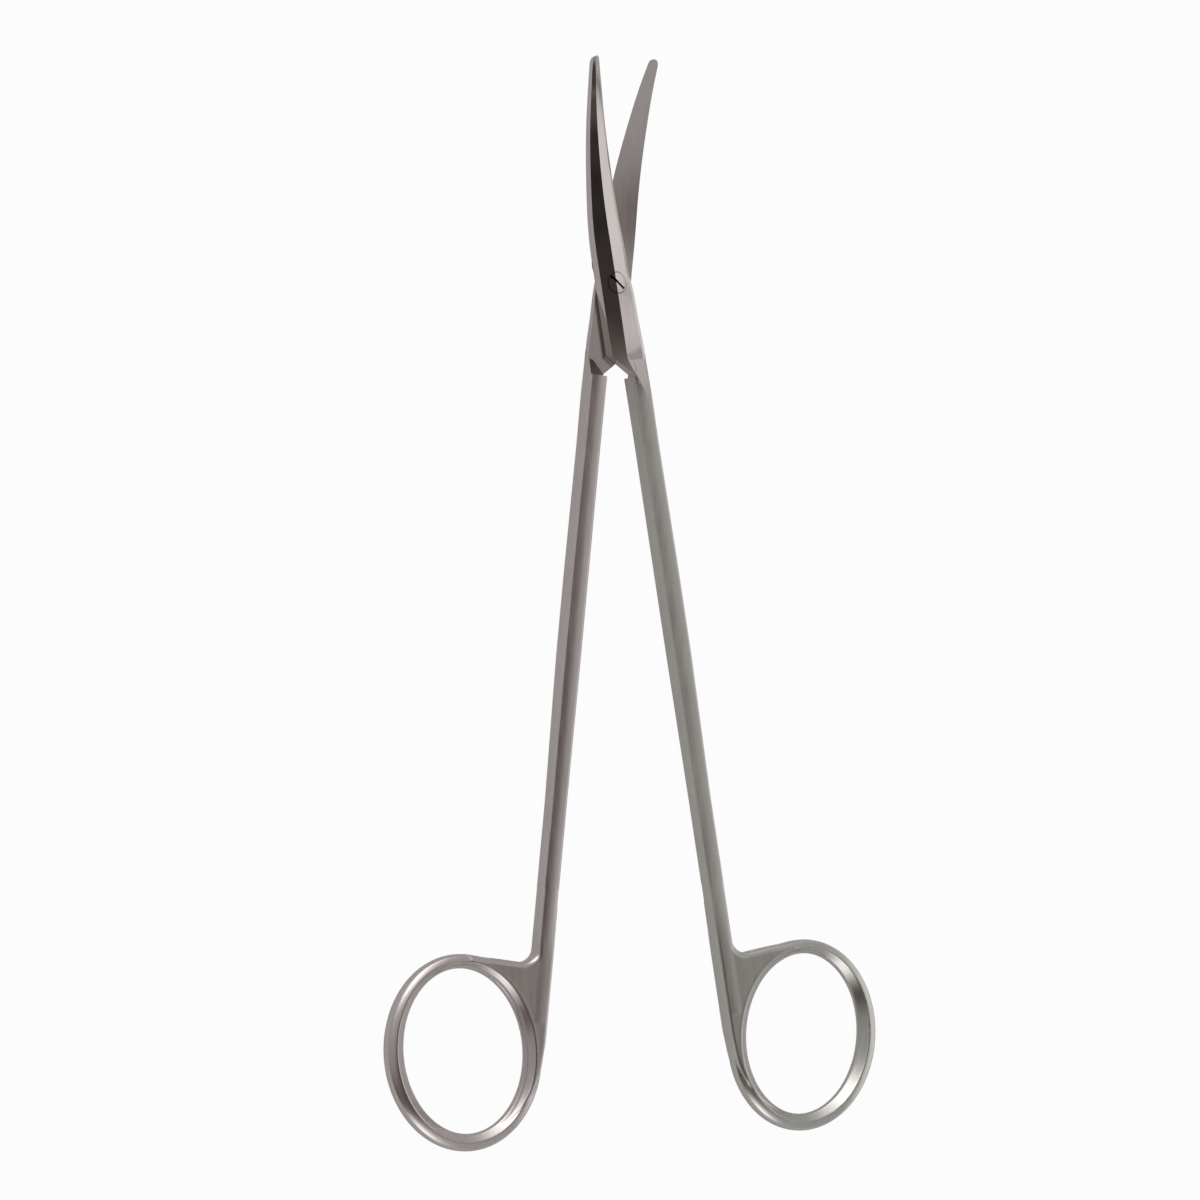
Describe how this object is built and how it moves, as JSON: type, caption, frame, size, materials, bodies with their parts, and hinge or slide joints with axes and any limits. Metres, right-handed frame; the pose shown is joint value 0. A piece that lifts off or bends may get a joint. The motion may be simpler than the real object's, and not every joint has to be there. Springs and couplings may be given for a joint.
{
  "type": "dissecting scissors",
  "caption": "Slim surgical scissors with short curved blunt-tipped blades, long narrow shanks, a flush slotted screw at the joint and oval finger rings.",
  "frame": {"origin": "on the pivot's axis, on the flat ground on the back of the joint round the screw's end", "axes": "+Z along the pivot, the way the tips curve; +Y along the middle of the open halves, towards the tips; +X to the right of the blades seen from +Z"},
  "size_m": [0.0886, 0.1771, 0.0105],
  "materials": {
    "front_steel": "satin, polished along the joint and blade",
    "rear_steel": "satin",
    "screw_steel": "satin, ground flush"
  },
  "bodies": {
    "rear_half": {"rear_half": "rear_steel", "pivot_screw": "screw_steel"},
    "front_half": {"front_half": "front_steel"}
  },
  "joints": [
    {"name": "pivot", "type": "hinge", "parent": "rear_half", "child": "front_half", "pos_m": [0, 0, 0.0021], "axis": [0, 0, 1], "range_deg": [-15.2, 45]}
  ]
}
